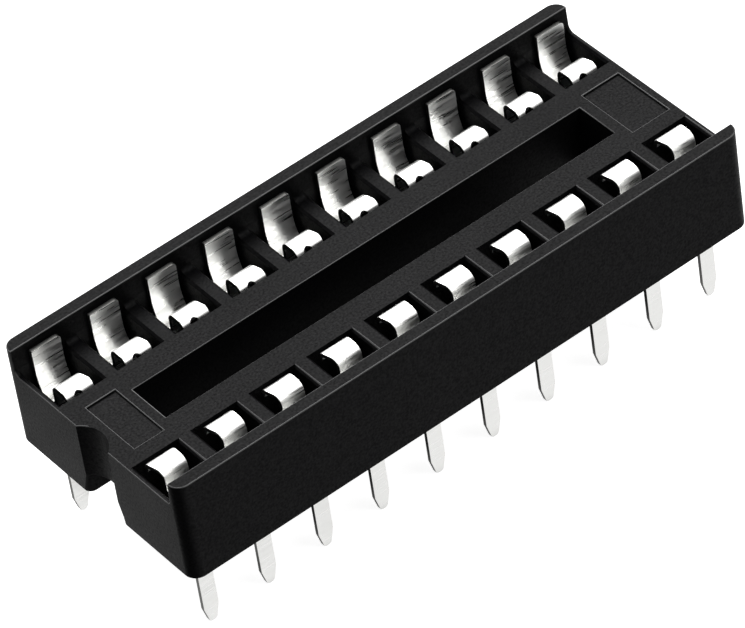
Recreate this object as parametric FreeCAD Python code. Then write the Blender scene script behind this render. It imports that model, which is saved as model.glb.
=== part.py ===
import FreeCAD, Part
import math
import os

# Dual-in-line IC socket: a moulded housing and two rows of stamped dual-leaf contacts.
# Millimetres. X runs along the rows with the notched end at -X, and Y runs across them.
# The origin is the centre of the pin grid on the housing's underside, and +Z is up.

# Pin grid
positions_per_row = 10
pitch = 2.54
row_spacing = 7.62

# Housing block
stacking_gap = 0.1         # each end stops this far short of the half pitch
row_to_side = 1.29         # line of the tails to the outer side face
body_height = 4.4
corner_radius = 0.5        # upright corners of the block
top_edge_chamfer = 0.1     # outer top edges
deck_edge_radius = 0.08    # ends of the deck
floor_thickness = 0.8      # under the pockets

# Side walls and the deck between them
deck_drop = 1.07           # top of the walls down to the deck
wall_thickness = 0.55      # at the top of the wall
wall_draft = 0.05          # what the wall gains from top to deck
wall_foot_radius = 0.25    # hollow between deck and wall
wall_inner_radius = 0.06   # inner top edge of the wall

# Long slot through the middle
slot_width = 1.94
slot_end_margin = 2.5      # end of the block to the end of the slot

# Contact pockets
pocket_width = 1.87
pocket_reach = 1.71        # line of the tails in to the pocket's inner edge
pocket_chamfer = 0.1       # on the edges beside the partitions

# Shallow bare panels on the deck, one at each end
panel_width = 2.8
panel_depth = 0.08
notched_panel_length = 1.25
notched_panel_margin = 0.8
plain_panel_length = 1.68
plain_panel_margin = 0.32

# Polarity notch: a shallow round groove over a square recess
groove_half_width = 0.92
groove_depth = 0.45
recess_half_width = 0.93
recess_depth = 0.8
recess_height = 0.95
recess_mouth_radius = 0.3

# Contact sheet and its outer leaf
sheet = 0.18
leaf_width = 1.25
leaf_offset = 0.155        # middle of the outer leaf past the middle of the tail
leaf_corner_width = 0.17   # chamfer on the leaf's free corner
leaf_corner_drop = 0.13
leaf_below_wall = 0.32     # top of the outer leaf below the top of the wall
leaf_to_wall = 0.02        # outer leaf to the pocket's outer face
knee_height = 0.6          # pocket floor to the bend where the outer leaf starts to lean
lean_height = 1.25         # from there to where it stands upright along the wall
leaf_bend_radius = 2.2

# Inner leaf: hook over the deck, shoulder, and the bulge that grips the chip's leg
lip_left = 0.59            # half-widths of the hook
lip_right = 0.57
lip_gap = 0.1              # pocket edge to the hook
lip_tip_drop = 0.3         # end of the hook below the deck
lip_rise = 0.08            # crest of the hook above the deck
lip_near_run = 0.055
lip_crest_run = 0.725
upright_length = 0.8
grip_height = 1.0          # pocket floor to the lower end of the flat that grips
grip_flat = 0.3
grip_gap = 0.2             # from leaf to leaf there, measured level; 0.15 square to them
lip_near_radius = 0.22
lip_far_radius = 0.3
neck_right = 0.42          # half-width on that side below the hook
neck_start = 0.22          # hook's end to where it starts to narrow
lip_notch_width = 0.34
lip_notch_offset = -0.08
lip_notch_height = 0.26    # from the end of the hook

# Folded base and solder tail
base_height = 0.5
base_clearance = 0.05      # base to the pocket's sides
tail_width = 0.65
tail_length = 3.6          # below the housing's underside
tail_taper = 0.7
tail_tip_width = 0.3
tail_tip_radius = 0.13
tail_clearance = 0.05

# Points closer than this are one point
same_point = 1e-6

# Dependent sizes of the housing
row_y = row_spacing / 2
half_length = positions_per_row * pitch / 2 - stacking_gap
half_width = row_y + row_to_side
deck_z = body_height - deck_drop
wall_top_y = half_width - wall_thickness
wall_foot_y = wall_top_y - wall_draft
past = 1.0                 # how far a cutting shape runs past the surface that it opens

X = FreeCAD.Vector(1, 0, 0)
Y = FreeCAD.Vector(0, 1, 0)
Z = FreeCAD.Vector(0, 0, 1)


def plan(x, y):
    """Point of a plan view, seen from above."""
    return FreeCAD.Vector(x, y, 0)


def front(x, z):
    """Point of a front view, seen along the rows' cross direction."""
    return FreeCAD.Vector(x, 0, z)


def side(y, z):
    """Point of a side view, seen along the rows."""
    return FreeCAD.Vector(0, y, z)


def add_line(edges, start, end):
    """Add a straight edge, unless the two points are one."""
    if start.distanceToPoint(end) > same_point:
        edges.append(Part.LineSegment(start, end).toShape())


def path_edges(points, radii, axis, offset=0.0):
    """Edges of a path beside a row of points, with an arc or a mitre at each inner point.

    axis is square to the path's plane, and offset is how far the edges lie to the
    left of the points when axis points at the viewer.
    """
    edges = []
    first_run = (points[1] - points[0]).normalize()
    start = points[0] + axis.cross(first_run) * offset
    for before, corner, after, radius in zip(points, points[1:], points[2:], radii):
        run_in = (corner - before).normalize()
        run_out = (after - corner).normalize()
        if radius == 0:
            square = axis.cross(run_in) + axis.cross(run_out)
            mitre = corner + square * (offset / (1 + run_in.dot(run_out)))
            add_line(edges, start, mitre)
            start = mitre
            continue
        middle = (run_in + run_out).normalize()
        reach = radius * math.tan(run_in.getAngle(run_out) / 2)
        turn = math.copysign(1, axis.cross(run_in).dot(run_out))
        centre = corner - run_in * reach + axis.cross(run_in) * turn * radius
        arc_start = corner - run_in * reach + axis.cross(run_in) * offset
        arc_middle = centre + axis.cross(middle) * (offset - turn * radius)
        arc_end = corner + run_out * reach + axis.cross(run_out) * offset
        add_line(edges, start, arc_start)
        edges.append(Part.Arc(arc_start, arc_middle, arc_end).toShape())
        start = arc_end
    last_run = (points[-1] - points[-2]).normalize()
    add_line(edges, start, points[-1] + axis.cross(last_run) * offset)
    return edges


def prism(points, radii, axis, low, high):
    """Solid of a closed outline with rounded corners, between two heights along axis."""
    half_way = (points[-1] + points[0]) * 0.5
    edges = path_edges([half_way] + points + [half_way], radii, axis)
    face = Part.Face(Part.Wire(edges))
    face.translate(axis * low)
    return face.extrude(axis * (high - low))


def bent_sheet(points, radii, axis, low, high):
    """Sheet metal that follows a path, between two heights along axis."""
    left = path_edges(points, radii, axis, sheet / 2)
    right = path_edges(points, radii, axis, -sheet / 2)
    caps = []
    add_line(caps, left[0].firstVertex().Point, right[0].firstVertex().Point)
    add_line(caps, left[-1].lastVertex().Point, right[-1].lastVertex().Point)
    face = Part.Face(Part.Wire(Part.sortEdges(left + right + caps)[0]))
    face.translate(axis * low)
    return face.extrude(axis * (high - low))


def place(shape, column, row):
    """Copy of a shape drawn at the row's line, set at its place in the pin grid.

    row is 1 for the rear row and -1 for the front row, whose pieces are turned
    half way round.
    """
    copy = shape.copy()
    if row < 0:
        copy.rotate(FreeCAD.Vector(0, 0, 0), Z, 180)
    x = (column - (positions_per_row - 1) / 2) * pitch
    copy.translate(FreeCAD.Vector(x, row * row_y, 0))
    return copy


def grid_copies(shape):
    """Copies of a shape at every place of the pin grid."""
    return [place(shape, column, row) for row in (1, -1) for column in range(positions_per_row)]


def block():
    """Outer block with round upright corners and bevelled top edges."""
    corners = [plan(-half_length, -half_width), plan(half_length, -half_width),
               plan(half_length, half_width), plan(-half_length, half_width)]
    solid = prism(corners, [corner_radius] * 4, Z, 0, body_height)
    top_edges = [edge for edge in solid.Edges if edge.BoundBox.ZMin > body_height - same_point]
    return solid.makeChamfer(top_edge_chamfer, top_edges)


def deck_channel():
    """Space between the drafted side walls, hollowed where they meet the deck."""
    top = body_height + past
    mouth = wall_top_y + wall_inner_radius
    points = [side(-mouth, top), side(-mouth, body_height), side(-wall_top_y, body_height),
              side(-wall_foot_y, deck_z), side(wall_foot_y, deck_z),
              side(wall_top_y, body_height), side(mouth, body_height), side(mouth, top)]
    radii = [0, 0, wall_inner_radius, wall_foot_radius, wall_foot_radius, wall_inner_radius, 0, 0]
    return prism(points, radii, X, -half_length - past, half_length + past)


def deck_end_cutters():
    """Corner strips that leave the flat of the deck round at both ends."""
    reach = wall_foot_y - wall_foot_radius
    low = deck_z - deck_edge_radius
    inner = half_length - deck_edge_radius
    points = [front(inner - past, deck_z + past), front(inner - past, deck_z),
              front(half_length, deck_z), front(half_length, low - past),
              front(half_length + past, low - past), front(half_length + past, deck_z + past)]
    radii = [0, 0, deck_edge_radius, 0, 0, 0]
    strip = prism(points, radii, Y, -reach, reach)
    return [strip, strip.mirror(FreeCAD.Vector(0, 0, 0), X)]


def middle_slot():
    """Long slot through the deck and the floor."""
    length = 2 * (half_length - slot_end_margin)
    corner = FreeCAD.Vector(-length / 2, -slot_width / 2, -past)
    return Part.makeBox(length, slot_width, body_height + 2 * past, corner)


def pocket():
    """One contact pocket, drawn at the row's line, with its chamfered edges."""
    half = pocket_width / 2
    mouth = half + pocket_chamfer
    top = body_height + past
    points = [front(-half, floor_thickness), front(half, floor_thickness),
              front(half, deck_z - pocket_chamfer), front(mouth, deck_z), front(mouth, top),
              front(-mouth, top), front(-mouth, deck_z), front(-half, deck_z - pocket_chamfer)]
    return prism(points, [0] * len(points), Y, -pocket_reach, wall_foot_y - row_y)


def tail_hole():
    """Hole through the pocket floor for one tail, drawn at the row's line."""
    width = tail_width + 2 * tail_clearance
    depth = sheet + 2 * tail_clearance
    corner = FreeCAD.Vector(-width / 2, -depth / 2, -past)
    return Part.makeBox(width, depth, floor_thickness + 2 * past, corner)


def deck_panels():
    """Two shallow bare panels, behind the notch and at the plain end."""
    height = panel_depth + past
    low = deck_z - panel_depth
    notched = FreeCAD.Vector(-half_length + notched_panel_margin, -panel_width / 2, low)
    plain_x = half_length - plain_panel_margin - plain_panel_length
    plain = FreeCAD.Vector(plain_x, -panel_width / 2, low)
    return [Part.makeBox(notched_panel_length, panel_width, height, notched),
            Part.makeBox(plain_panel_length, panel_width, height, plain)]


def polarity_notch():
    """Round groove down the end face, and the square recess with a round mouth below it."""
    radius = (groove_half_width ** 2 + groove_depth ** 2) / (2 * groove_depth)
    centre = FreeCAD.Vector(-half_length + groove_depth - radius, 0, 0)
    groove = Part.makeCylinder(radius, body_height + past, centre)
    mouth = recess_half_width + recess_mouth_radius
    back = -half_length + recess_depth
    points = [plan(-half_length - past, -mouth), plan(-half_length, -mouth),
              plan(-half_length, -recess_half_width), plan(back, -recess_half_width),
              plan(back, recess_half_width), plan(-half_length, recess_half_width),
              plan(-half_length, mouth), plan(-half_length - past, mouth)]
    radii = [0, 0, recess_mouth_radius, 0, 0, recess_mouth_radius, 0, 0]
    return [groove, prism(points, radii, Z, -past, recess_height)]


def housing():
    """Moulded housing in one piece."""
    cutters = [middle_slot()] + deck_panels() + deck_end_cutters() + polarity_notch()
    cutters += grid_copies(pocket()) + grid_copies(tail_hole())
    return block().cut(deck_channel()).cut(cutters)


def hook_tip_y():
    """Middle of the sheet at the end of the inner leaf's hook."""
    return -pocket_reach + lip_gap + sheet / 2


def spring_y():
    """Middle of the sheet where the inner leaf stands upright."""
    return hook_tip_y() + lip_near_run + lip_crest_run


def wall_leaf_y():
    """Middle of the sheet where the outer leaf stands along the wall."""
    return wall_foot_y - leaf_to_wall - sheet / 2 - row_y


def outer_leaf():
    """Leaf that leans out from the tail's plane and then stands along the wall."""
    top_z = body_height - leaf_below_wall
    wall_y = wall_leaf_y()
    knee_z = floor_thickness + knee_height
    path = [side(0, floor_thickness), side(0, knee_z),
            side(wall_y, knee_z + lean_height), side(wall_y, top_z)]
    left = leaf_offset - leaf_width / 2
    right = leaf_offset + leaf_width / 2
    bent = bent_sheet(path, [0, leaf_bend_radius], X, left, right)
    corner = [front(right - leaf_corner_width, top_z), front(right, top_z - leaf_corner_drop),
              front(right + past, top_z - leaf_corner_drop), front(right + past, top_z + past),
              front(right - leaf_corner_width, top_z + past)]
    return bent.cut(prism(corner, [0] * len(corner), Y, -past, past))


def inner_leaf_path():
    """Middle line of the inner leaf, from the end of its hook down to the pocket floor."""
    crest_z = deck_z + lip_rise - sheet / 2
    tip_y = hook_tip_y()
    leaf_at_grip = wall_leaf_y() * (grip_height - knee_height) / lean_height
    grip_y = leaf_at_grip - sheet - grip_gap
    grip_z = floor_thickness + grip_height
    return [side(tip_y, deck_z - lip_tip_drop), side(tip_y + lip_near_run, crest_z),
            side(spring_y(), crest_z), side(spring_y(), crest_z - upright_length),
            side(grip_y, grip_z + grip_flat), side(grip_y, grip_z),
            side(spring_y(), floor_thickness + base_height), side(spring_y(), floor_thickness)]


def neck_side():
    """Cutter that narrows the inner leaf on one side, from the hook's crest outwards."""
    start_y = hook_tip_y() + neck_start
    outer_y = spring_y() + sheet / 2
    points = [plan(lip_right, start_y), plan(neck_right, outer_y), plan(neck_right, past),
              plan(lip_right + past, past), plan(lip_right + past, start_y)]
    return prism(points, [0] * len(points), Z, floor_thickness - past, deck_z + past)


def lip_notch():
    """Cutter for the notch in the end of the hook, with its round left as two slopes."""
    half = lip_notch_width / 2
    top = deck_z - lip_tip_drop + lip_notch_height
    low = top - lip_notch_height - past
    left = lip_notch_offset - half
    right = lip_notch_offset + half
    points = [front(left, low), front(right, low), front(right, top - half),
              front(right - half / 2, top), front(left + half / 2, top), front(left, top - half)]
    crest_y = hook_tip_y() + lip_near_run + lip_crest_run / 2
    return prism(points, [0] * len(points), Y, -pocket_reach, crest_y)


def inner_leaf():
    """Spring leaf: a hook over the pocket's edge, a shoulder and the bulge that grips."""
    radii = [lip_near_radius, lip_far_radius, 0, 0, 0, 0]
    bent = bent_sheet(inner_leaf_path(), radii, X, -lip_left, lip_right)
    return bent.cut([lip_notch(), neck_side()])


def folded_base():
    """Base folded sharply to a C in plan, which stands on the pocket floor and carries both leaves."""
    half = pocket_width / 2 - base_clearance
    web_x = -half + sheet / 2
    path = [plan(half, 0), plan(web_x, 0), plan(web_x, spring_y()), plan(half, spring_y())]
    top = floor_thickness + base_height
    return bent_sheet(path, [0, 0], Z, floor_thickness, top)


def tail():
    """Flat solder tail with a tapered round tip."""
    half = tail_width / 2
    tip = tail_tip_width / 2
    top = floor_thickness + base_height
    points = [front(-half, top), front(-half, tail_taper - tail_length), front(-tip, -tail_length),
              front(tip, -tail_length), front(half, tail_taper - tail_length), front(half, top)]
    radii = [0, 0, tail_tip_radius, tail_tip_radius, 0, 0]
    return prism(points, radii, Y, -sheet / 2, sheet / 2)


def contact():
    """One stamped contact in one piece, drawn at the row's line."""
    return outer_leaf().fuse([inner_leaf(), folded_base(), tail()]).removeSplitter()


def export(shape, name):
    """Write one piece, which has to be one closed solid."""
    solid = shape.Solids[0]
    if len(shape.Solids) != 1 or not solid.isValid():
        raise ValueError(name + " is not one valid solid")
    solid.exportStep("parts/" + name + ".step")


def main():
    os.makedirs("parts", exist_ok=True)
    export(housing(), "housing")
    for number, piece in enumerate(grid_copies(contact()), start=1):
        export(piece, "contact_%02d" % number)


main()
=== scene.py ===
"""Looks of a dual-in-line IC socket: its moulded housing and its stamped contacts.

Pieces are drawn in millimetres, like the part's drawing, and brought to metres when they
are finished. X runs along the rows with the notched end at -X, Y runs across them, and
the origin is the centre of the pin grid on the housing's underside, with +Z up.
"""

import logging
import math
from dataclasses import dataclass, field
from enum import Enum
from typing import Any, Callable, Sequence

import bmesh
import bpy
from mathutils import Matrix, Vector

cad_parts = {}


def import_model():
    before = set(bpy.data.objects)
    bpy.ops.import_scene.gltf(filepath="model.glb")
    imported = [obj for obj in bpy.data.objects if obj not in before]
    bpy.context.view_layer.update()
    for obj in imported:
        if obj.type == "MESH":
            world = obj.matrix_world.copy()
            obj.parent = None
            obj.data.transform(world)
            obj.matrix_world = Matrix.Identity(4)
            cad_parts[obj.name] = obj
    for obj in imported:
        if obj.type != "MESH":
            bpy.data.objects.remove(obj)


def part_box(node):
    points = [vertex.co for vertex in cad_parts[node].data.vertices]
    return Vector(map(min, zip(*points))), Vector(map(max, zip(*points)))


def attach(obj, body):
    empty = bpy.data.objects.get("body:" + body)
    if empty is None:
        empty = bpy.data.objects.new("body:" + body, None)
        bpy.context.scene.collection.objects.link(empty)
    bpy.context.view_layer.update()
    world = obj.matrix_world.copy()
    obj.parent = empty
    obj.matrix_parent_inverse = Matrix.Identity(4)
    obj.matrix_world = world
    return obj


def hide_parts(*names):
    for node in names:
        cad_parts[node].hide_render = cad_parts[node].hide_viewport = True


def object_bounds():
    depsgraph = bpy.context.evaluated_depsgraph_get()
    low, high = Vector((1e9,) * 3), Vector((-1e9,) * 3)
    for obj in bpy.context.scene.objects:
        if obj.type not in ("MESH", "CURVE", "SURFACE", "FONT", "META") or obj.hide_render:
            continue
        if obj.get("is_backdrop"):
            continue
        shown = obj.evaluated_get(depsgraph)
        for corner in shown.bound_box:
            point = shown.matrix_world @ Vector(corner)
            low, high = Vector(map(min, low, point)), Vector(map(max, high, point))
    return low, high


LOG = logging.getLogger("ic_socket")
MM = 0.001
TINY = 1e-4  # mm, for picking what lies on a plane
WELD = 6e-3  # mm, for merging what cutting leaves almost in one place
SPECK = 1e-3  # mm, for clearing the empty faces that rounding leaves at corners
STRAIGHT = 0.5  # degrees, a turn that counts as none
LEVEL = 0.9  # upward share of the normal of a face that is level
SLANTED = 0.5  # share of the normal along an axis of a face that slants to it
DIGITS = 4  # decimals of a place in mm, enough to tell points apart
Point = tuple[float, float, float]


class Row(Enum):
    """The two rows of contacts, with the side of the housing that each is on."""

    REAR = 1
    FRONT = -1


class Ray(Enum):
    """Kinds of ray that a backdrop tells apart, by their Light Path output."""

    CAMERA = "Is Camera Ray"
    GLOSSY = "Is Glossy Ray"
    TRANSMISSION = "Is Transmission Ray"


def deselect_all() -> None:
    """Leave nothing selected, in object mode."""
    if bpy.context.mode != "OBJECT":
        bpy.ops.object.mode_set(mode="OBJECT")
    bpy.ops.object.select_all(action="DESELECT")


def only(piece: bpy.types.Object) -> None:
    """Select one object alone and make it the active one.

    Args:
        piece: The object.
    """
    deselect_all()
    piece.select_set(True)
    bpy.context.view_layer.objects.active = piece


def named(name: str) -> bpy.types.Object:
    """Name the new active object and its mesh, and return it.

    Args:
        name: The name.

    Returns:
        The object.
    """
    piece = bpy.context.active_object
    piece.name = name
    piece.data.name = name
    return piece


def pick(piece: bpy.types.Object, kind: str, test: Callable[[Any], bool]) -> int:
    """Select in edit mode the vertices, edges or faces that pass a test.

    Args:
        piece: The object in edit mode.
        kind: "VERT", "EDGE" or "FACE".
        test: Says whether a bmesh element is wanted.

    Returns:
        How many elements were selected.
    """
    bpy.ops.mesh.select_mode(type=kind)
    bpy.ops.mesh.select_all(action="DESELECT")
    mesh = bmesh.from_edit_mesh(piece.data)
    wanted = [e for e in {"VERT": mesh.verts, "EDGE": mesh.edges, "FACE": mesh.faces}[kind] if test(e)]
    for element in wanted:
        element.select_set(True)
    mesh.select_flush_mode()
    bmesh.update_edit_mesh(piece.data)
    return len(wanted)


def box(name: str, low: Point, high: Point) -> bpy.types.Object:
    """Add a box between two corners.

    Args:
        name: Name of the new object.
        low: Lowest corner, in mm.
        high: Highest corner, in mm.

    Returns:
        The box, with its place in its mesh.
    """
    deselect_all()
    bpy.ops.mesh.primitive_cube_add(size=1)
    piece = named(name)
    bpy.ops.object.mode_set(mode="EDIT")
    bpy.ops.mesh.select_all(action="SELECT")
    size = Vector(high) - Vector(low)
    middle = (Vector(high) + Vector(low)) / 2
    bpy.ops.transform.resize(value=size, center_override=(0, 0, 0))
    bpy.ops.transform.translate(value=middle)
    bpy.ops.object.mode_set(mode="OBJECT")
    return piece


def upright_rod(name: str, radius: float, low: float, high: float, x: float,
                sides: int) -> bpy.types.Object:
    """Add an upright cylinder on the middle line.

    Args:
        name: Name of the new object.
        radius: Radius, in mm.
        low: Height of its lower end, in mm.
        high: Height of its upper end, in mm.
        x: Place along the rows, in mm.
        sides: Number of sides of the circle.

    Returns:
        The cylinder, with its place in its mesh.
    """
    deselect_all()
    bpy.ops.mesh.primitive_cylinder_add(
        vertices=sides, radius=radius, depth=high - low, location=(x, 0, (low + high) / 2)
    )
    piece = named(name)
    bpy.ops.object.transform_apply(location=True, rotation=True, scale=True)
    return piece


def bevel_edges(piece: bpy.types.Object, width: float, segments: int, test: Callable[[Any], bool],
                slot: int = -1) -> int:
    """Round the edges that pass a test, in edit mode.

    Args:
        piece: The object to shape.
        width: Width of the rounding, in mm.
        segments: Steps across the rounding.
        test: Says whether a bmesh edge is wanted.
        slot: Material slot of the roundings, or -1 for that of the faces beside them.

    Returns:
        How many edges were rounded.
    """
    only(piece)
    bpy.ops.object.mode_set(mode="EDIT")
    count = pick(piece, "EDGE", test)
    if count:
        bpy.ops.mesh.bevel(offset=width, segments=segments, affect="EDGES", clamp_overlap=False,
                           material=slot)
    bpy.ops.object.mode_set(mode="OBJECT")
    return count


def join(pieces: Sequence[bpy.types.Object], name: str) -> bpy.types.Object:
    """Join several objects into one mesh.

    Args:
        pieces: The objects to join.
        name: Name of the joined object.

    Returns:
        The joined object.
    """
    only(pieces[0])
    for piece in pieces[1:]:
        piece.select_set(True)
    bpy.ops.object.join()
    return named(name)


def duplicate(piece: bpy.types.Object, name: str) -> bpy.types.Object:
    """Copy an object with its own mesh.

    Args:
        piece: The object to copy.
        name: Name of the copy.

    Returns:
        The copy.
    """
    only(piece)
    bpy.ops.object.duplicate(linked=False)
    return named(name)


def shift(piece: bpy.types.Object, by: Point, turned: bool = False) -> None:
    """Move a mesh, after half a turn about the upright axis if asked.

    Args:
        piece: The object whose mesh moves.
        by: How far it moves, in the object's own unit.
        turned: Whether the mesh is turned half way round first.
    """
    only(piece)
    if turned:
        bpy.ops.transform.rotate(value=math.pi, orient_axis="Z", center_override=(0, 0, 0))
    bpy.ops.transform.translate(value=by)
    bpy.ops.object.transform_apply(location=True, rotation=True, scale=True)


def combine(piece: bpy.types.Object, tool: bpy.types.Object, operation: str) -> None:
    """Cut with, add or keep the overlap with a tool object, which is used up.

    Args:
        piece: The object that is shaped.
        tool: The other object.
        operation: "DIFFERENCE", "UNION" or "INTERSECT".
    """
    only(piece)
    modifier = piece.modifiers.new(operation.lower(), "BOOLEAN")
    modifier.object = tool
    modifier.operation = operation
    modifier.solver = "EXACT"
    bpy.ops.object.modifier_apply(modifier=modifier.name)
    bpy.data.objects.remove(tool)


def weld(piece: bpy.types.Object) -> None:
    """Merge the doubled points that cutting leaves, and clear points from straight edges.

    Args:
        piece: The object to clean.
    """
    only(piece)
    bpy.ops.object.mode_set(mode="EDIT")
    bpy.ops.mesh.select_all(action="SELECT")
    bpy.ops.mesh.remove_doubles(threshold=WELD)
    bpy.ops.mesh.dissolve_degenerate(threshold=WELD)
    bpy.ops.mesh.dissolve_limited(angle_limit=math.radians(STRAIGHT))
    bpy.ops.object.mode_set(mode="OBJECT")


def soften(piece: bpy.types.Object, width: float, segments: int, angle: float) -> None:
    """Round every sharp edge a little, and shade the rest smooth.

    Args:
        piece: The object to finish.
        width: Width of the rounding, in mm.
        segments: Steps across the rounding.
        angle: Edges that turn by more than this are rounded, in degrees.
    """
    only(piece)
    modifier = piece.modifiers.new("edges", "BEVEL")
    modifier.width = width
    modifier.segments = segments
    modifier.limit_method = "ANGLE"
    modifier.angle_limit = math.radians(angle)
    modifier.use_clamp_overlap = False
    bpy.ops.object.modifier_apply(modifier=modifier.name)
    bpy.ops.object.mode_set(mode="EDIT")
    bpy.ops.mesh.select_all(action="SELECT")
    bpy.ops.mesh.remove_doubles(threshold=SPECK)
    bpy.ops.mesh.dissolve_degenerate(threshold=SPECK)
    bpy.ops.object.mode_set(mode="OBJECT")
    bpy.ops.object.shade_smooth_by_angle(angle=math.radians(angle))
    flat = piece.modifiers.new("flat_faces", "WEIGHTED_NORMAL")
    flat.keep_sharp = True
    bpy.ops.object.modifier_apply(modifier=flat.name)


def to_metres(piece: bpy.types.Object) -> None:
    """Bring a piece that was drawn in millimetres to metres.

    Args:
        piece: The piece.
    """
    only(piece)
    bpy.ops.transform.resize(value=(MM, MM, MM), center_override=(0, 0, 0))
    bpy.ops.object.transform_apply(location=True, rotation=True, scale=True)


def linear(colour: str) -> tuple[float, float, float, float]:
    """Turn an sRGB hex colour to linear values, by the standard curve.

    Args:
        colour: Six hex digits after a number sign.

    Returns:
        Red, green, blue and an alpha of 1.
    """
    def channel(value: float) -> float:
        """Turn one channel from 0 to 1 to its linear value."""
        return value / 12.92 if value <= 0.04045 else ((value + 0.055) / 1.055) ** 2.4

    red, green, blue = (channel(int(colour[at:at + 2], 16) / 255) for at in (1, 3, 5))
    return red, green, blue, 1.0


def add_node(tree: bpy.types.NodeTree, kind: str, settings: dict[str, Any] | None = None,
             inputs: dict[Any, Any] | None = None) -> bpy.types.Node:
    """Add a node with its settings, values and links.

    Args:
        tree: The node tree.
        kind: The node's type.
        settings: Properties of the node itself.
        inputs: Socket name or number to a value, or to the output socket that feeds it.

    Returns:
        The new node.
    """
    node = tree.nodes.new(kind)
    for name, value in (settings or {}).items():
        setattr(node, name, value)
    for name, value in (inputs or {}).items():
        if isinstance(value, bpy.types.NodeSocket):
            tree.links.new(value, node.inputs[name])
        else:
            node.inputs[name].default_value = value
    return node


def new_material(name: str) -> tuple[bpy.types.Material, bpy.types.NodeTree]:
    """Make an empty node material.

    Args:
        name: Name of the material.

    Returns:
        The material and its node tree.
    """
    material = bpy.data.materials.new(name)
    material.use_nodes = True
    material.node_tree.nodes.clear()
    return material, material.node_tree


def spacing(millimetres: float) -> float:
    """Noise scale whose grains are this far apart, on Object coordinates in metres."""
    return 1.0 / (millimetres * MM)


def swing(tree: bpy.types.NodeTree, noise: bpy.types.Node, span: tuple[float, float], middle: float,
          reach: float) -> bpy.types.NodeSocket:
    """Add a node that turns a noise to a value that swings either way of a middle.

    Args:
        tree: The node tree.
        noise: The noise texture.
        span: The part of the noise's range that is spread over the swing.
        middle: Middle of the result.
        reach: How far the result goes either way.

    Returns:
        The socket that gives the value.
    """
    return add_node(tree, "ShaderNodeMapRange", inputs={
        "Value": noise.outputs["Fac"], "From Min": span[0], "From Max": span[1],
        "To Min": middle - reach, "To Max": middle + reach}).outputs["Result"]


@dataclass(frozen=True)
class BlackMoulding:
    """Glass-filled black thermoplastic, injection moulded in a spark-eroded tool.

    The eye sees a dull dark grey on flat faces, broken by a very fine grain, which falls to
    near black where less light comes, and thin bright lines along the edges.
    """

    colour: str = "#0b0b0c"
    roughness: float = 0.4
    roughness_swing: float = 0.03
    specular: float = 0.04
    specular_swing: float = 0.02
    grain_mm: float = 0.09
    grain_height_mm: float = 0.004
    flow_mm: float = 2.5
    noise_span: tuple[float, float] = (0.3, 0.7)

    def material(self) -> bpy.types.Material:
        """Build the material of the moulding's flat faces.

        Returns:
            The material.
        """
        material, tree = new_material("black_glass_filled_moulding")
        place = add_node(tree, "ShaderNodeTexCoord").outputs["Object"]
        flow = add_node(tree, "ShaderNodeTexNoise", inputs={
            "Vector": place, "Scale": spacing(self.flow_mm), "Detail": 2.0})
        sheen = swing(tree, flow, self.noise_span, self.roughness, self.roughness_swing)
        grain = add_node(tree, "ShaderNodeTexNoise", inputs={
            "Vector": place, "Scale": spacing(self.grain_mm), "Detail": 2.0})
        bump = add_node(tree, "ShaderNodeBump", inputs={
            "Height": grain.outputs["Fac"], "Distance": self.grain_height_mm * MM, "Strength": 1.0})
        glint = swing(tree, grain, self.noise_span, self.specular, self.specular_swing)
        shader = add_node(tree, "ShaderNodeBsdfPrincipled", inputs={
            "Base Color": linear(self.colour), "Roughness": sheen,
            "Specular IOR Level": glint, "Normal": bump.outputs["Normal"]})
        add_node(tree, "ShaderNodeOutputMaterial", inputs={"Surface": shader.outputs["BSDF"]})
        return material


@dataclass(frozen=True)
class BlackArris:
    """Resin-rich skin on the moulding's edges, which the tool leaves smoother than its faces.

    The eye sees it as the thin light lines that draw every edge of the black housing.
    """

    colour: str = "#0e0e0f"
    roughness: float = 0.35
    specular: float = 0.6

    def material(self) -> bpy.types.Material:
        """Build the material of the moulding's rounded edges.

        Returns:
            The material.
        """
        material, tree = new_material("black_moulding_smooth_edge")
        shader = add_node(tree, "ShaderNodeBsdfPrincipled", inputs={
            "Base Color": linear(self.colour), "Roughness": self.roughness,
            "Specular IOR Level": self.specular})
        add_node(tree, "ShaderNodeOutputMaterial", inputs={"Surface": shader.outputs["BSDF"]})
        return material


@dataclass(frozen=True)
class TinPlate:
    """Bright tin plated over phosphor bronze strip, rolled and then stamped.

    The eye sees a near-white metal with soft reflections, and rolling lines along the
    strip, drawn coarser than they are, that streak the darker reflections.
    """

    colour: str = "#eeeeec"
    roughness: float = 0.36
    roughness_swing: float = 0.09
    brushing: float = 0.3
    brushing_turn: float = 0.25
    line_mm: float = 0.07
    line_stretch: float = 0.06
    line_span: tuple[float, float] = (0.35, 0.65)

    def material(self) -> bpy.types.Material:
        """Build the plating's material.

        Returns:
            The material.
        """
        material, tree = new_material("bright_tin_plating")
        place = add_node(tree, "ShaderNodeTexCoord").outputs["Object"]
        along = add_node(tree, "ShaderNodeMapping", inputs={
            "Vector": place, "Scale": (self.line_stretch, 1.0, 1.0)})
        lines = add_node(tree, "ShaderNodeTexNoise", inputs={
            "Vector": along.outputs["Vector"], "Scale": spacing(self.line_mm), "Detail": 1.0})
        matt = swing(tree, lines, self.line_span, self.roughness, self.roughness_swing)
        strip = add_node(tree, "ShaderNodeCombineXYZ", inputs={"X": 1.0})
        shader = add_node(tree, "ShaderNodeBsdfPrincipled", inputs={
            "Base Color": linear(self.colour), "Metallic": 1.0, "Roughness": matt,
            "Anisotropic": self.brushing, "Anisotropic Rotation": self.brushing_turn,
            "Tangent": strip.outputs["Vector"]})
        add_node(tree, "ShaderNodeOutputMaterial", inputs={"Surface": shader.outputs["BSDF"]})
        return material


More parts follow.
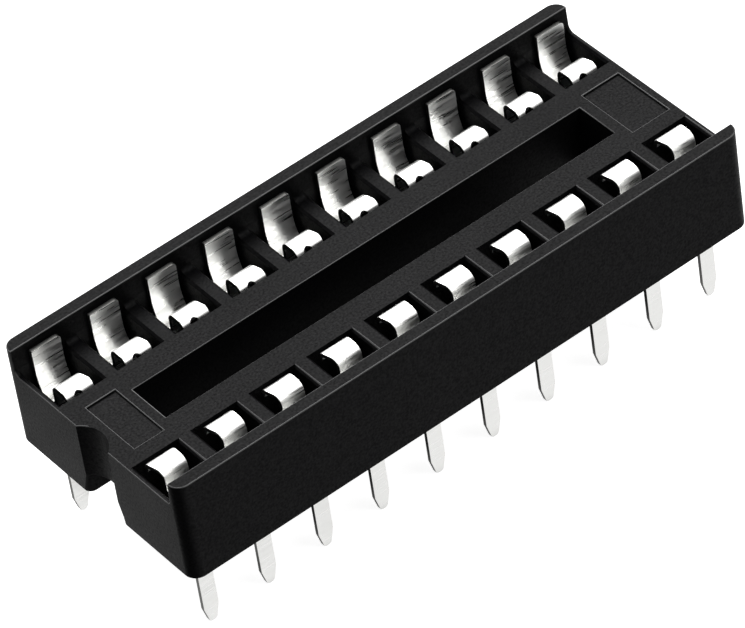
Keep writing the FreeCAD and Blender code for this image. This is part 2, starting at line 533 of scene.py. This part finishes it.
@dataclass(frozen=True)
class BareCutWithShade:
    """Phosphor bronze laid bare where the plated strip was stamped through.

    The eye sees it as a thin darker outline round the bright sheet: bare metal, with its colour
    darkened and greyed as painted shade.
    """

    # Painted shade: darker and greyer than bare bronze, so that the cut edges draw a dark outline.
    colour: str = "#5a5a58"
    roughness: float = 0.4

    def material(self) -> bpy.types.Material:
        """Build the material of the sheet's cut edges.

        Returns:
            The material.
        """
        material, tree = new_material("bare_cut_bronze_painted_shade")
        shader = add_node(tree, "ShaderNodeBsdfPrincipled", inputs={
            "Base Color": linear(self.colour), "Metallic": 1.0, "Roughness": self.roughness})
        add_node(tree, "ShaderNodeOutputMaterial", inputs={"Surface": shader.outputs["BSDF"]})
        return material


@dataclass
class Grid:
    """Standard grid of the contacts, in mm."""

    positions: int = 10
    pitch: float = 2.54
    row_spacing: float = 7.62

    def place(self, piece: bpy.types.Object, column: int, row: Row) -> None:
        """Set a piece that is drawn at the row's line at its place in the grid.

        Args:
            piece: The piece, drawn in mm.
            column: Place in the row, counted from the notched end.
            row: The row, whose front pieces are turned half way round.
        """
        x = (column - (self.positions - 1) / 2) * self.pitch
        shift(piece, (x, row.value * self.row_spacing / 2, 0), turned=row is Row.FRONT)

    def spread(self, piece: bpy.types.Object, name: str) -> bpy.types.Object:
        """Copy a piece to every place of the grid and join the copies.

        Args:
            piece: The piece, drawn at the row's line, which is used up.
            name: Name of the joined object.

        Returns:
            All the copies as one object.
        """
        copies = []
        for row in Row:
            for column in range(self.positions):
                copy = duplicate(piece, name)
                self.place(copy, column, row)
                copies.append(copy)
        bpy.data.objects.remove(piece)
        return join(copies, name)


@dataclass
class Housing:
    """Moulded housing in one piece, with its sizes in mm."""

    low: Point
    high: Point
    grid: Grid
    finish: BlackMoulding = field(default_factory=BlackMoulding)
    edge_finish: BlackArris = field(default_factory=BlackArris)
    corner_radius: float = 0.5
    floor_thickness: float = 0.8
    deck_drop: float = 1.07
    wall_thickness: float = 0.55
    wall_draft: float = 0.05
    wall_foot_radius: float = 0.25
    slot_width: float = 1.94
    slot_end_margin: float = 2.5
    pocket_width: float = 1.87
    pocket_reach: float = 1.71
    pocket_chamfer: float = 0.1
    panel_width: float = 2.8
    panel_depth: float = 0.08
    notched_panel: tuple[float, float] = (0.8, 1.25)
    plain_panel: tuple[float, float] = (0.32, 1.68)
    groove_half_width: float = 0.93
    groove_depth: float = 0.45
    recess_half_width: float = 0.93
    recess_depth: float = 1.1
    recess_height: float = 0.95
    recess_mouth_radius: float = 0.3
    tail_hole: tuple[float, float] = (0.75, 0.28)
    arris_radius: float = 0.035
    edge_radius: float = 0.012
    flat_angle: float = 20.0
    sharp_angle: float = 35.0
    corner_steps: int = 10
    foot_steps: int = 6
    mouth_steps: int = 6
    arris_steps: int = 3
    edge_steps: int = 2
    groove_sides: int = 96
    past: float = 1.0

    @property
    def deck(self) -> float:
        """Height of the deck."""
        return self.high[2] - self.deck_drop

    @property
    def wall_foot(self) -> float:
        """Distance of the wall's inner face from the middle, at the deck."""
        return self.high[1] - self.wall_thickness - self.wall_draft

    def block(self) -> bpy.types.Object:
        """Make the outer block with its round corners.

        Returns:
            The block.
        """
        piece = box("housing_shell", self.low, self.high)
        bevel_edges(piece, self.corner_radius, self.corner_steps,
                    lambda e: abs(e.verts[0].co.z - e.verts[1].co.z) > self.past)
        return piece

    def is_arris(self, edge: Any) -> bool:
        """Tell whether an edge is one of those that stand out, smooth and light.

        Args:
            edge: A bmesh edge of the housing.

        Returns:
            True for the walls' tops, the ends' outlines, the slot, the groove's rear flank, the
            panels' frames, and the front row's mouths on the side that looks to the notched end.
        """
        if not edge.is_convex or edge.calc_face_angle(0.0) < math.radians(self.flat_angle):
            return False
        ends = [vertex.co for vertex in edge.verts]
        near = 2 * WELD
        lowest = min(end.z for end in ends)
        level = all(abs(end.z - self.deck) < near for end in ends)
        side = self.grid.row_spacing / 2 - self.pocket_reach - near
        at_top = lowest > self.high[2] - near
        at_end = all(abs(end.x) > self.high[0] - near for end in ends) and lowest > self.deck - near
        groove = all(end.x < self.low[0] + self.groove_depth + near for end in ends)
        flank = self.groove_half_width / 2 if groove and not at_end else -side
        between = level and all(flank < end.y < side for end in ends)
        chamfer = any(face.normal.x < -SLANTED and face.normal.z > SLANTED for face in edge.link_faces)
        mouth = level and chamfer and ends[0].y < 0
        return at_top or at_end or between or mouth

    def channel(self) -> bpy.types.Object:
        """Make the tool that clears the space between the drafted walls.

        Returns:
            The tool.
        """
        top = self.wall_foot + self.wall_draft
        rise = self.deck_drop + self.past
        flare = self.wall_draft * self.past / self.deck_drop
        tool = box("channel", (self.low[0] - self.past, -self.wall_foot, self.deck),
                   (self.high[0] + self.past, self.wall_foot, self.deck + rise))
        only(tool)
        bpy.ops.object.mode_set(mode="EDIT")
        pick(tool, "FACE", lambda f: f.normal.z > LEVEL)
        bpy.ops.transform.resize(value=(1, (top + flare) / self.wall_foot, 1),
                                 center_override=(0, 0, 0))
        bpy.ops.object.mode_set(mode="OBJECT")
        bevel_edges(tool, self.wall_foot_radius, self.foot_steps,
                    lambda e: max(v.co.z for v in e.verts) < self.deck + TINY
                    and abs(e.verts[0].co.x - e.verts[1].co.x) > self.past)
        return tool

    def pocket(self) -> bpy.types.Object:
        """Make the tool for one pocket, at the row's line, with its chamfered mouth.

        Returns:
            The tool.
        """
        half = self.pocket_width / 2
        outer = self.wall_foot - self.grid.row_spacing / 2
        tool = box("pocket", (-half, -self.pocket_reach, self.floor_thickness),
                   (half, outer, self.deck - self.pocket_chamfer))
        only(tool)
        bpy.ops.object.mode_set(mode="EDIT")
        pick(tool, "FACE", lambda f: f.normal.z > LEVEL)
        bpy.ops.mesh.extrude_region_move(
            TRANSFORM_OT_translate={"value": (0, 0, self.pocket_chamfer)})
        bpy.ops.transform.resize(value=((half + self.pocket_chamfer) / half, 1, 1),
                                 center_override=(0, 0, 0))
        bpy.ops.mesh.extrude_region_move(TRANSFORM_OT_translate={"value": (0, 0, self.past)})
        bpy.ops.object.mode_set(mode="OBJECT")
        return tool

    def openings(self) -> list[bpy.types.Object]:
        """Make the tools for slot, panels, notch, pockets and tail holes.

        Returns:
            The tools.
        """
        low, high, past = self.low, self.high, self.past
        slot_x = high[0] - self.slot_end_margin
        panel = self.panel_width / 2
        floor = self.deck - self.panel_depth
        margin, length = self.notched_panel
        end_margin, end_length = self.plain_panel
        radius = (self.groove_half_width ** 2 + self.groove_depth ** 2) / (2 * self.groove_depth)
        hole_x, hole_y = (size / 2 for size in self.tail_hole)
        hole = box("tail_hole", (-hole_x, -hole_y, -past),
                   (hole_x, hole_y, self.floor_thickness + past))
        return [
            self.grid.spread(self.pocket(), "pockets"),
            self.grid.spread(hole, "tail_holes"),
            box("slot", (-slot_x, -self.slot_width / 2, -past),
                (slot_x, self.slot_width / 2, high[2] + past)),
            box("notched_panel", (low[0] + margin, -panel, floor),
                (low[0] + margin + length, panel, high[2] + past)),
            box("plain_panel", (high[0] - end_margin - end_length, -panel, floor),
                (high[0] - end_margin, panel, high[2] + past)),
            box("recess", (low[0] - past, -self.recess_half_width, -past),
                (low[0] + self.recess_depth, self.recess_half_width, self.recess_height)),
            upright_rod("groove", radius, 0.0, high[2] + past,
                        low[0] + self.groove_depth - radius, self.groove_sides),
        ]

    def build(self) -> bpy.types.Object:
        """Model the housing and dress it.

        Returns:
            The finished housing, in metres.
        """
        piece = self.block()
        combine(piece, self.channel(), "DIFFERENCE")
        for tool in self.openings():
            combine(piece, tool, "DIFFERENCE")
        mouth = self.recess_half_width
        bevel_edges(piece, self.recess_mouth_radius, self.mouth_steps,
                    lambda e: all(abs(v.co.x - self.low[0]) < TINY and abs(abs(v.co.y) - mouth) < TINY
                                  and v.co.z < self.recess_height + TINY for v in e.verts))
        piece.data.materials.clear()
        piece.data.materials.append(self.finish.material())
        piece.data.materials.append(self.edge_finish.material())
        weld(piece)
        lines = bevel_edges(piece, self.arris_radius, self.arris_steps, self.is_arris, slot=1)
        soften(piece, self.edge_radius, self.edge_steps, self.sharp_angle)
        to_metres(piece)
        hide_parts("housing")
        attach(piece, "root")
        LOG.info("housing: %d light edges, %d faces", lines, len(piece.data.polygons))
        return piece


@dataclass
class Contact:
    """Stamped dual-leaf contact, drawn at the row's line, with its sizes in mm."""

    housing: Housing
    grid: Grid
    finish: TinPlate = field(default_factory=TinPlate)
    cut_finish_and_shade: BareCutWithShade = field(default_factory=BareCutWithShade)
    skins: list[bpy.types.Material] = field(default_factory=list)
    tail_tip: float = -3.6
    sheet: float = 0.18
    leaf_width: float = 1.25
    leaf_offset: float = 0.155
    leaf_corner: float = 0.15
    leaf_near_corner: float = 0.04
    leaf_below_wall: float = 0.32
    leaf_to_wall: float = 0.02
    knee_height: float = 0.6
    knee_radius: float = 0.15
    lean_height: float = 1.25
    leaf_bend_radius: float = 2.2
    lip_ends: tuple[float, float] = (-0.59, 0.57)
    lip_gap: float = 0.1
    lip_tip_drop: float = 0.3
    lip_rise: float = 0.08
    lip_near_run: float = 0.055
    lip_crest_run: float = 0.725
    upright_length: float = 0.8
    grip_height: float = 1.0
    grip_flat: float = 0.3
    grip_gap: float = 0.2
    lip_near_radius: float = 0.22
    lip_far_radius: float = 0.3
    spring_bend_radius: float = 0.2
    neck_right: float = 0.42
    neck_start: float = 0.22
    lip_notch_radius: float = 0.18
    lip_notch_offset: float = -0.1
    lip_notch_rise: float = 0.13
    lip_notch_reach: float = 0.22
    base_height: float = 0.5
    base_slope: float = 0.04
    base_clearance: float = 0.05
    tail_width: float = 0.65
    tail_taper: float = 0.7
    tail_tip_width: float = 0.3
    tail_tip_radius: float = 0.13
    edge_radius: float = 0.02
    sharp_angle: float = 40.0
    corner_steps: int = 5
    leaf_bend_steps: int = 24
    spring_bend_steps: int = 10
    edge_steps: int = 2
    notch_sides: int = 24

    @property
    def hook_tip(self) -> float:
        """Middle of the sheet at the end of the hook, across the rows."""
        return -self.housing.pocket_reach + self.lip_gap + self.sheet / 2

    @property
    def spring(self) -> float:
        """Middle of the sheet where the inner leaf stands upright."""
        return self.hook_tip + self.lip_near_run + self.lip_crest_run

    @property
    def wall_leaf(self) -> float:
        """Middle of the sheet where the outer leaf stands along the wall."""
        return self.housing.wall_foot - self.leaf_to_wall - self.sheet / 2 - self.grid.row_spacing / 2

    @property
    def leaf_top(self) -> float:
        """Height of the outer leaf's top."""
        return self.housing.high[2] - self.leaf_below_wall

    @property
    def base_half(self) -> float:
        """Half the width of the base."""
        return self.housing.pocket_width / 2 - self.base_clearance

    def dress(self, piece: bpy.types.Object, slot: int = 0) -> bpy.types.Object:
        """Give a piece the contact's plating and its bare cut edge, darkened as painted shade.

        Args:
            piece: The piece.
            slot: 0 to plate its faces, 1 to give them the bare cut colour, darkened as painted shade.

        Returns:
            The same piece.
        """
        if not self.skins:
            self.skins = [self.finish.material(), self.cut_finish_and_shade.material()]
        for skin in self.skins:
            piece.data.materials.append(skin)
        if slot:
            only(piece)
            piece.active_material_index = slot
            bpy.ops.object.mode_set(mode="EDIT")
            bpy.ops.mesh.select_all(action="SELECT")
            bpy.ops.object.material_slot_assign()
            bpy.ops.object.mode_set(mode="OBJECT")
        return piece

    def start_edge(self, name: str, half: float, y: float, z: float) -> bpy.types.Object:
        """Start a strip as one edge along the row, left in edit mode and selected.

        Args:
            name: Name of the new strip.
            half: Half the strip's width.
            y: Place of the edge across the rows.
            z: Height of the edge.

        Returns:
            The strip, in edit mode.
        """
        deselect_all()
        bpy.ops.mesh.primitive_plane_add(size=2)
        strip = named(name)
        bpy.ops.object.mode_set(mode="EDIT")
        pick(strip, "VERT", lambda v: v.co.y > 0)
        bpy.ops.mesh.delete(type="VERT")
        bpy.ops.mesh.select_all(action="SELECT")
        bpy.ops.transform.translate(value=(0, 1, 0))
        bpy.ops.transform.resize(value=(half, 1, 1), center_override=(0, 0, 0))
        bpy.ops.transform.translate(value=(0, y, z))
        return strip

    def widen(self, old: tuple[float, float], new: tuple[float, float]) -> None:
        """Change the selected edge's ends.

        Args:
            old: Where its left and right ends are now.
            new: Where they go.
        """
        bpy.ops.transform.translate(value=(-old[0], 0, 0))
        factor = (new[1] - new[0]) / (old[1] - old[0])
        bpy.ops.transform.resize(value=(factor, 1, 1), center_override=(0, 0, 0))
        bpy.ops.transform.translate(value=(new[0], 0, 0))

    def extrude(self, y: float, z: float) -> None:
        """Draw the selected edge out by a step across the rows and up."""
        if math.hypot(y, z) > TINY:
            bpy.ops.mesh.extrude_edges_move(TRANSFORM_OT_translate={"value": (0, y, z)})

    def follow(self, points: Sequence[tuple[float, float]], radii: Sequence[float], steps: int) -> None:
        """Draw the selected edge along a path of straight runs and round bends.

        Args:
            points: Corners of the path across the rows and up, from the edge's own place.
            radii: Bend radius at each inner corner.
            steps: Faces in a quarter turn.
        """
        place = Vector(points[0])
        for before, corner, after, radius in zip(points, points[1:], points[2:], radii):
            run_in = (Vector(corner) - Vector(before)).normalized()
            run_out = (Vector(after) - Vector(corner)).normalized()
            turn = run_in.angle_signed(run_out)
            reach = radius * math.tan(abs(turn) / 2)
            arc_start = Vector(corner) - run_in * reach
            self.extrude(*(arc_start - place))
            left = Vector((-run_in.y, run_in.x))
            side = 1 if run_in.cross(run_out) > 0 else -1
            centre = arc_start + left * side * radius
            count = max(2, round(steps * abs(turn) / (math.pi / 2)))
            bpy.ops.mesh.spin(steps=count, angle=-side * abs(turn), center=(0, centre.x, centre.y),
                              axis=(1, 0, 0))
            place = Vector(corner) + run_out * reach
        self.extrude(*(Vector(points[-1]) - place))

    def thicken(self, strip: bpy.types.Object) -> None:
        """Give a finished strip its sheet thickness, half on each side.

        Args:
            strip: The strip, in edit mode.
        """
        bpy.ops.mesh.select_all(action="SELECT")
        bpy.ops.mesh.remove_doubles(threshold=TINY)
        bpy.ops.mesh.normals_make_consistent(inside=False)
        bpy.ops.object.mode_set(mode="OBJECT")
        only(self.dress(strip))
        modifier = strip.modifiers.new("sheet", "SOLIDIFY")
        modifier.thickness = self.sheet
        modifier.offset = 0
        modifier.use_even_offset = True
        # The rims take the cut colour, darkened as painted shade.
        modifier.material_offset_rim = 1
        bpy.ops.object.modifier_apply(modifier=modifier.name)

    def outer_sheet(self) -> bpy.types.Object:
        """Make tail, base wall and outer leaf, one strip that leans out and stands up again.

        Returns:
            The strip, thickened.
        """
        floor = self.housing.floor_thickness
        half = self.leaf_width / 2
        tip = (-self.tail_tip_width / 2, self.tail_tip_width / 2)
        tail = (-self.tail_width / 2, self.tail_width / 2)
        base = (-self.base_half, self.base_half)
        leaf = (self.leaf_offset - half, self.leaf_offset + half)
        slope = self.base_slope
        strip = self.start_edge("outer_sheet", tip[1], 0, self.tail_tip)
        self.extrude(0, self.tail_taper)
        self.widen(tip, tail)
        self.extrude(0, floor - slope - self.tail_tip - self.tail_taper)
        self.extrude(0, slope)
        self.widen(tail, base)
        self.extrude(0, self.base_height)
        self.extrude(0, slope)
        self.widen(base, leaf)
        low = floor + self.base_height + slope
        knee = floor + self.knee_height
        self.follow([(0, low), (0, knee), (self.wall_leaf, knee + self.lean_height),
                     (self.wall_leaf, self.leaf_top)],
                    [self.knee_radius, self.leaf_bend_radius], self.leaf_bend_steps)
        self.round_corner(strip, lambda v: v.co.z > self.leaf_top - TINY and v.co.x > 0,
                          self.leaf_corner)
        self.round_corner(strip, lambda v: v.co.z > self.leaf_top - TINY and v.co.x < leaf[0] + TINY,
                          self.leaf_near_corner)
        self.round_corner(strip, lambda v: v.co.z < self.tail_tip + TINY, self.tail_tip_radius)
        self.thicken(strip)
        return strip

    def round_corner(self, strip: bpy.types.Object, test: Callable[[Any], bool], radius: float) -> None:
        """Round corners of a flat strip that is in edit mode.

        Args:
            strip: The strip.
            test: Says whether a vertex is such a corner.
            radius: How far the rounding starts from the corner, in mm.
        """
        pick(strip, "VERT", test)
        bpy.ops.mesh.bevel(offset=radius, segments=self.corner_steps, affect="VERTICES")

    def inner_path(self) -> list[tuple[float, float]]:
        """Middle line of the inner leaf, from the end of its hook down to the base.

        Returns:
            Its corners, each across the rows and up.
        """
        deck = self.housing.deck
        floor = self.housing.floor_thickness
        crest = deck + self.lip_rise - self.sheet / 2
        grip = floor + self.grip_height
        leaf_at_grip = self.wall_leaf * (self.grip_height - self.knee_height) / self.lean_height
        grip_y = leaf_at_grip - self.sheet - self.grip_gap
        return [(self.hook_tip, deck - self.lip_tip_drop),
                (self.hook_tip + self.lip_near_run, crest), (self.spring, crest),
                (self.spring, crest - self.upright_length), (grip_y, grip + self.grip_flat),
                (grip_y, grip), (self.spring, floor + self.base_height), (self.spring, floor)]

    def leaf_ends(self, y: float) -> tuple[float, float]:
        """Where the inner leaf's edges are at a place along its middle line.

        Args:
            y: Place across the rows, from the row's line.

        Returns:
            Left and right end along the row.
        """
        start = self.hook_tip + self.neck_start
        share = min(1.0, max(0.0, (y - start) / (self.spring - start)))
        left, right = self.lip_ends
        return left, right + (self.neck_right - right) * share

    def inner_leaf(self) -> bpy.types.Object:
        """Make the inner leaf, from the end of its hook down to the pocket floor.

        Returns:
            The leaf, thickened and notched.
        """
        deck = self.housing.deck
        path = self.inner_path()
        half = self.base_half
        strip = self.start_edge("inner_leaf", half, *path[0])
        hook = [self.lip_near_radius, self.lip_far_radius]
        below = [self.spring_bend_radius] * (len(path) - 2 - len(hook))
        self.follow(path, hook + below, self.spring_bend_steps)
        for y, z in self.rings(strip):
            if z > path[-2][1] + TINY:
                pick(strip, "VERT", lambda v: abs(v.co.y - y) < TINY and abs(v.co.z - z) < TINY)
                self.widen((-half, half), self.leaf_ends(y))
        self.thicken(strip)
        notch_z = deck - self.lip_tip_drop + self.lip_notch_rise
        reach = self.lip_notch_reach
        notch = upright_rod("lip_notch", self.lip_notch_radius, -reach * 2, reach, 0, self.notch_sides)
        only(self.dress(notch, slot=1))
        bpy.ops.transform.rotate(value=math.pi / 2, orient_axis="X", center_override=(0, 0, 0))
        bpy.ops.object.transform_apply(location=True, rotation=True, scale=True)
        shift(notch, (self.lip_notch_offset, self.hook_tip, notch_z))
        combine(strip, notch, "DIFFERENCE")
        left = self.lip_notch_offset - self.lip_notch_radius
        right = self.lip_notch_offset + self.lip_notch_radius
        slit = box("lip_slit", (left, self.hook_tip - reach * 2, notch_z - 1),
                   (right, self.hook_tip + reach, notch_z))
        combine(strip, self.dress(slit, slot=1), "DIFFERENCE")
        return strip

    @staticmethod
    def rings(strip: bpy.types.Object) -> list[tuple[float, float]]:
        """Places across the rows and up of a strip's cross edges, while it is in edit mode."""
        mesh = bmesh.from_edit_mesh(strip.data)
        return sorted({(round(v.co.y, DIGITS), round(v.co.z, DIGITS)) for v in mesh.verts})

    def web(self) -> bpy.types.Object:
        """Make the side of the folded base that joins the two leaves.

        Returns:
            The side.
        """
        floor = self.housing.floor_thickness
        return box("base_web", (-self.base_half, self.spring, floor),
                   (-self.base_half + self.sheet, 0, floor + self.base_height))

    def draw(self) -> bpy.types.Object:
        """Model one contact at the row's line, still in mm.

        Returns:
            The contact.
        """
        piece = self.outer_sheet()
        combine(piece, self.inner_leaf(), "UNION")
        combine(piece, self.dress(self.web()), "UNION")
        weld(piece)
        soften(piece, self.edge_radius, self.edge_steps, self.sharp_angle)
        return piece

    def build(self) -> list[bpy.types.Object]:
        """Model a contact, copy it to every place and dress the copies.

        Returns:
            The finished contacts, in metres.
        """
        pattern = self.draw()
        pieces = []
        for row in Row:
            for column in range(self.grid.positions):
                number = len(pieces) + 1
                piece = duplicate(pattern, f"stamped_contact_{number:02d}")
                self.grid.place(piece, column, row)
                to_metres(piece)
                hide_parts(f"contact_{number:02d}")
                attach(piece, "root")
                pieces.append(piece)
        bpy.data.objects.remove(pattern)
        LOG.info("contacts: %d of %d faces", len(pieces), len(pieces[0].data.polygons))
        return pieces


@dataclass(frozen=True)
class Softbox:
    """Soft square lamp: where it shines from in degrees, its watts and its side in metres."""

    name: str
    azimuth: float
    elevation: float
    power: float
    size: float


@dataclass
class Studio:
    """White table, soft lamps and the camera of the photograph."""

    floor_z: float
    floor_size: float = 2.0
    floor_colour: str = "#e8e8e8"
    floor_seen: float = 0.9
    floor_mirrored: float = 1.0
    # Painted shade and painted shadow on the table, seen only in reflections: a dark patch by the
    # notched end and a dark area under the object.
    shade_place: Point = (-0.0195, -0.0065, 0.0)
    shade_reach: tuple[float, float] = (0.0045, 0.0085)
    shade_side: tuple[float, float] = (-0.0195, -0.0165)
    shadow_under_x: tuple[float, float] = (0.009, 0.011)
    shadow_under_y: tuple[float, float] = (0.0025, 0.0042)
    ambient: float = 0.2
    lamps: tuple[Softbox, ...] = (Softbox("rear_softbox", 148, 50, 2.6, 0.4),
                                  Softbox("front_softbox", 41, 53, 0.65, 0.3))
    lamp_distance: float = 0.5
    aim: Point = (-0.000198, 0.000576, 0.000409)
    distance: float = 0.21228
    azimuth: float = -32.197
    elevation: float = 43.004
    roll: float = 9.233
    image_width: int = 745
    focal_pixels: float = 5988.0
    sensor: float = 36.0
    clip: tuple[float, float] = (0.01, 10.0)

    @staticmethod
    def seen_by(tree: bpy.types.NodeTree, rays: Sequence[Ray]) -> bpy.types.NodeSocket:
        """Add nodes that give 1 for some kinds of ray and 0 for the rest.

        Args:
            tree: The node tree.
            rays: The kinds of ray.

        Returns:
            The socket that gives the value.
        """
        path = add_node(tree, "ShaderNodeLightPath")
        total = path.outputs[rays[0].value]
        for ray in rays[1:]:
            total = add_node(tree, "ShaderNodeMath", {"operation": "MAXIMUM"},
                             {0: total, 1: path.outputs[ray.value]}).outputs[0]
        return total

    def world(self) -> None:
        """Light the object softly from all round, and show white to what looks at the world."""
        world = bpy.data.worlds.new("studio")
        world.use_nodes = True
        tree = world.node_tree
        tree.nodes.clear()
        strength = add_node(tree, "ShaderNodeMapRange", inputs={
            "Value": self.seen_by(tree, tuple(Ray)), "To Min": self.ambient, "To Max": 1.0})
        background = add_node(tree, "ShaderNodeBackground", inputs={
            "Color": linear("#ffffff"), "Strength": strength.outputs["Result"]})
        add_node(tree, "ShaderNodeOutputWorld", inputs={"Surface": background.outputs[0]})
        bpy.context.scene.world = world

    def mirrored_table(self, tree: bpy.types.NodeTree) -> bpy.types.NodeSocket:
        """Add nodes for how bright the table is to what mirrors it.

        It is pale, except for a painted shadow under the object, and a painted dark patch near the
        camera's side of the notched end, which the corner and groove mirror as painted shade.

        Args:
            tree: The node tree of the table's material.

        Returns:
            The socket that gives the strength.
        """
        def ramp(value: bpy.types.NodeSocket, reach: tuple[float, float],
                 top: float = 1.0) -> bpy.types.NodeSocket:
            """Rise from 0 to a top over a reach."""
            return add_node(tree, "ShaderNodeMapRange", inputs={
                "Value": value, "From Min": reach[0], "From Max": reach[1],
                "To Max": top}).outputs["Result"]

        def math_of(operation: str, *values: bpy.types.NodeSocket) -> bpy.types.NodeSocket:
            """Work out one step from one value or two."""
            return add_node(tree, "ShaderNodeMath", {"operation": operation},
                            dict(enumerate(values))).outputs[0]

        place = add_node(tree, "ShaderNodeTexCoord").outputs["Object"]
        away = add_node(tree, "ShaderNodeVectorMath", {"operation": "DISTANCE"}, {
            0: place, 1: self.shade_place}).outputs["Value"]
        across = add_node(tree, "ShaderNodeSeparateXYZ", inputs={"Vector": place}).outputs
        # Painted shade: the mirrored table darkens near the camera's side of the notched end.
        corner = ramp(away, self.shade_reach, self.floor_mirrored)
        beside = ramp(across["X"], self.shade_side)
        # Painted shadow: the mirrored table darkens under the object.
        clear = math_of("MAXIMUM", ramp(math_of("ABSOLUTE", across["X"]), self.shadow_under_x),
                        ramp(math_of("ABSOLUTE", across["Y"]), self.shadow_under_y))
        return math_of("MULTIPLY", math_of("MULTIPLY", corner, beside), clear)

    def floor(self) -> None:
        """Add the table top, white to the camera but for the object's shadow."""
        deselect_all()
        bpy.ops.mesh.primitive_plane_add(size=self.floor_size, location=(0, 0, self.floor_z))
        table = named("table_top")
        material, tree = new_material("white_table")
        matt = add_node(tree, "ShaderNodeBsdfDiffuse", inputs={"Color": linear(self.floor_colour)})
        lift = add_node(tree, "ShaderNodeMath", {"operation": "MULTIPLY"}, {
            0: self.seen_by(tree, (Ray.CAMERA,)), 1: self.floor_seen})
        glow = add_node(tree, "ShaderNodeEmission", inputs={
            "Color": linear("#ffffff"), "Strength": lift.outputs[0]})
        plain = add_node(tree, "ShaderNodeAddShader", inputs={
            0: matt.outputs[0], 1: glow.outputs[0]})
        # Glossy and transmission rays see a glowing white table with its painted shadow and painted
        # shade.
        mirror = add_node(tree, "ShaderNodeEmission", inputs={
            "Color": linear("#ffffff"), "Strength": self.mirrored_table(tree)})
        both = add_node(tree, "ShaderNodeMixShader", inputs={
            0: self.seen_by(tree, (Ray.GLOSSY, Ray.TRANSMISSION)), 1: plain.outputs[0],
            2: mirror.outputs[0]})
        add_node(tree, "ShaderNodeOutputMaterial", inputs={"Surface": both.outputs[0]})
        table.data.materials.append(material)
        table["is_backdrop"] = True

    def light(self, softbox: Softbox) -> None:
        """Add a lamp aimed at the object.

        Args:
            softbox: Place, power and size of the lamp.
        """
        data = bpy.data.lights.new(softbox.name, "AREA")
        data.energy = softbox.power
        data.size = softbox.size
        lamp = bpy.data.objects.new(softbox.name, data)
        bpy.context.scene.collection.objects.link(lamp)
        back = self.direction(softbox.azimuth, softbox.elevation)
        lamp.location = back * self.lamp_distance
        lamp.rotation_mode = "QUATERNION"
        lamp.rotation_quaternion = (-back).to_track_quat("-Z", "Y")

    @staticmethod
    def direction(azimuth: float, elevation: float) -> Vector:
        """Unit vector from the object towards a place round it.

        Args:
            azimuth: Turn round the object in degrees, where 0 looks along +Y.
            elevation: Height above the horizon, in degrees.

        Returns:
            The direction, one long.
        """
        turn, lift = math.radians(azimuth), math.radians(elevation)
        level = math.cos(lift)
        return Vector((math.sin(turn) * level, -math.cos(turn) * level, math.sin(lift)))

    def camera(self) -> None:
        """Set the camera where the photograph was taken from, with its lean."""
        data = bpy.data.cameras.new("photo")
        data.sensor_width = self.sensor
        data.lens = self.sensor * self.focal_pixels / self.image_width
        data.clip_start, data.clip_end = self.clip
        camera = bpy.data.objects.new("photo", data)
        bpy.context.scene.collection.objects.link(camera)
        back = self.direction(self.azimuth, self.elevation)
        level = (-back).to_track_quat("-Z", "Y").to_matrix()
        leaning = level @ Matrix.Rotation(math.radians(-self.roll), 3, "Z")
        place = Matrix.Translation(Vector(self.aim) + back * self.distance)
        camera.matrix_world = place @ leaning.to_4x4()
        bpy.context.scene.camera = camera

    def build(self) -> None:
        """Set up the world, the table, the lamps and the camera."""
        self.world()
        self.floor()
        for softbox in self.lamps:
            self.light(softbox)
        self.camera()
        bpy.context.scene.view_settings.view_transform = "Standard"


def main() -> None:
    """Build the socket's pieces and the studio round them."""
    logging.basicConfig(level=logging.INFO, format="%(name)s %(message)s")
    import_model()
    cad_low, cad_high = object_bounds()
    low, high = (tuple(value / MM for value in corner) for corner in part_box("housing"))
    grid = Grid()
    housing = Housing(low=low, high=high, grid=grid)
    housing.build()
    Contact(housing=housing, grid=grid).build()
    Studio(floor_z=cad_low.z).build()


if __name__ == "__main__":
    main()
